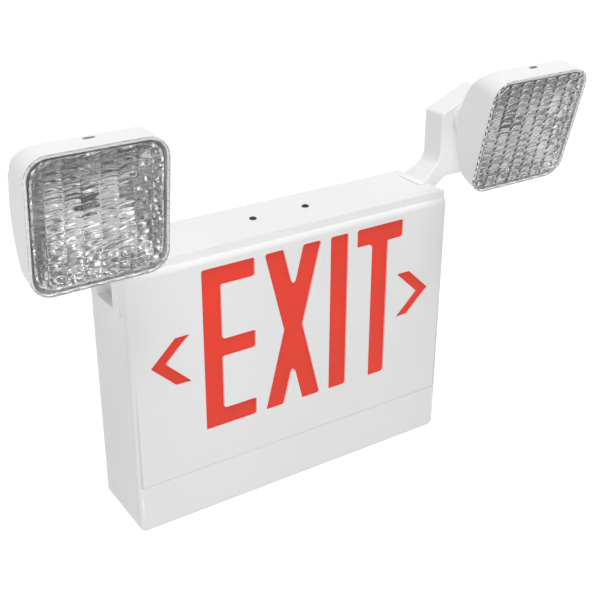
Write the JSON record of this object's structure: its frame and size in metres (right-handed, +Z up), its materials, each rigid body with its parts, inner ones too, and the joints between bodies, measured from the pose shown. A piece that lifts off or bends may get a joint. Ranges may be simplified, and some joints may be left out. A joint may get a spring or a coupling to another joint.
{
  "type": "emergency exit light",
  "caption": "Wall-mounted emergency exit light: shallow box with a lit sign face and square swivelling lamp heads on short arms at its upper corners.",
  "frame": {"origin": "centre of the wall screws, on the back face that lies on the wall", "axes": "+X to the right of someone who reads the sign, +Y into the wall, +Z up"},
  "size_m": [0.5118, 0.142, 0.3826],
  "materials": {
    "housing_plastic": "smooth moulded, low sheen",
    "face_plastic": "smooth moulded, low sheen",
    "head_plastic": "smooth moulded, low sheen",
    "red_diffuser": "translucent, satin",
    "clear_lens": "clear, prismatic, polished",
    "bright_reflector": "vacuum-metallised, mirror-like",
    "lamp_glass": "clear",
    "socket_plastic": "moulded",
    "pin_steel": "zinc plated",
    "circuit_board": "solder mask",
    "led_package": "satin",
    "cell_sleeve": "shrink sleeve",
    "transformer_steel": "varnished laminations",
    "component_black": "moulded",
    "terminal_green": "moulded",
    "button_plastic": "moulded",
    "pilot_plastic": "translucent"
  },
  "bodies": {
    "housing": {"housing_frame": "housing_plastic", "back_plate": "housing_plastic", "face_plate": "face_plastic", "diffuser_panel": "red_diffuser", "led_bar_upper": "circuit_board", "led_bar_lower": "circuit_board", "led_chips": "led_package", "battery_cradle": "housing_plastic", "battery_cells": "cell_sleeve", "charger_board": "circuit_board", "board_screws": "pin_steel", "transformer": "transformer_steel", "board_capacitors": "component_black", "board_relay": "component_black", "terminal_block": "terminal_green", "test_switch": "component_black", "pilot_lamp": "pilot_plastic", "arm_screws": "pin_steel", "arm_right": "head_plastic", "arm_left": "head_plastic"},
    "button": {"test_button": "button_plastic"},
    "swivel_right": {"neck_right": "head_plastic", "swivel_nut_right": "socket_plastic"},
    "head_right": {"casing_right": "head_plastic", "reflector_right": "bright_reflector", "lamp_socket_right": "socket_plastic", "lamp_right": "lamp_glass", "lens_right": "clear_lens", "tilt_pin_right": "pin_steel"},
    "swivel_left": {"neck_left": "head_plastic", "swivel_nut_left": "socket_plastic"},
    "head_left": {"casing_left": "head_plastic", "reflector_left": "bright_reflector", "lamp_socket_left": "socket_plastic", "lamp_left": "lamp_glass", "lens_left": "clear_lens", "tilt_pin_left": "pin_steel"}
  },
  "joints": [
    {"name": "test_press", "type": "slide", "parent": "housing", "child": "button", "axis": [0, 0, 1], "range_m": [0, 0.0015], "stiffness_N_per_m": 600, "springref_m": -0.001},
    {"name": "right_swivel", "type": "hinge", "parent": "housing", "child": "swivel_right", "pos_m": [0.2024, -0.044, 0.185], "axis": [0, 1, 0], "range_deg": [-90, 90]},
    {"name": "right_tilt", "type": "hinge", "parent": "swivel_right", "child": "head_right", "pos_m": [0.2024, -0.0785, 0.185], "axis": [1, 0, 0], "range_deg": [-42, 28]},
    {"name": "left_swivel", "type": "hinge", "parent": "housing", "child": "swivel_left", "pos_m": [-0.2024, -0.044, 0.185], "axis": [0, 1, 0], "range_deg": [-90, 90]},
    {"name": "left_tilt", "type": "hinge", "parent": "swivel_left", "child": "head_left", "pos_m": [-0.2024, -0.0785, 0.185], "axis": [1, 0, 0], "range_deg": [-35, 35]}
  ]
}
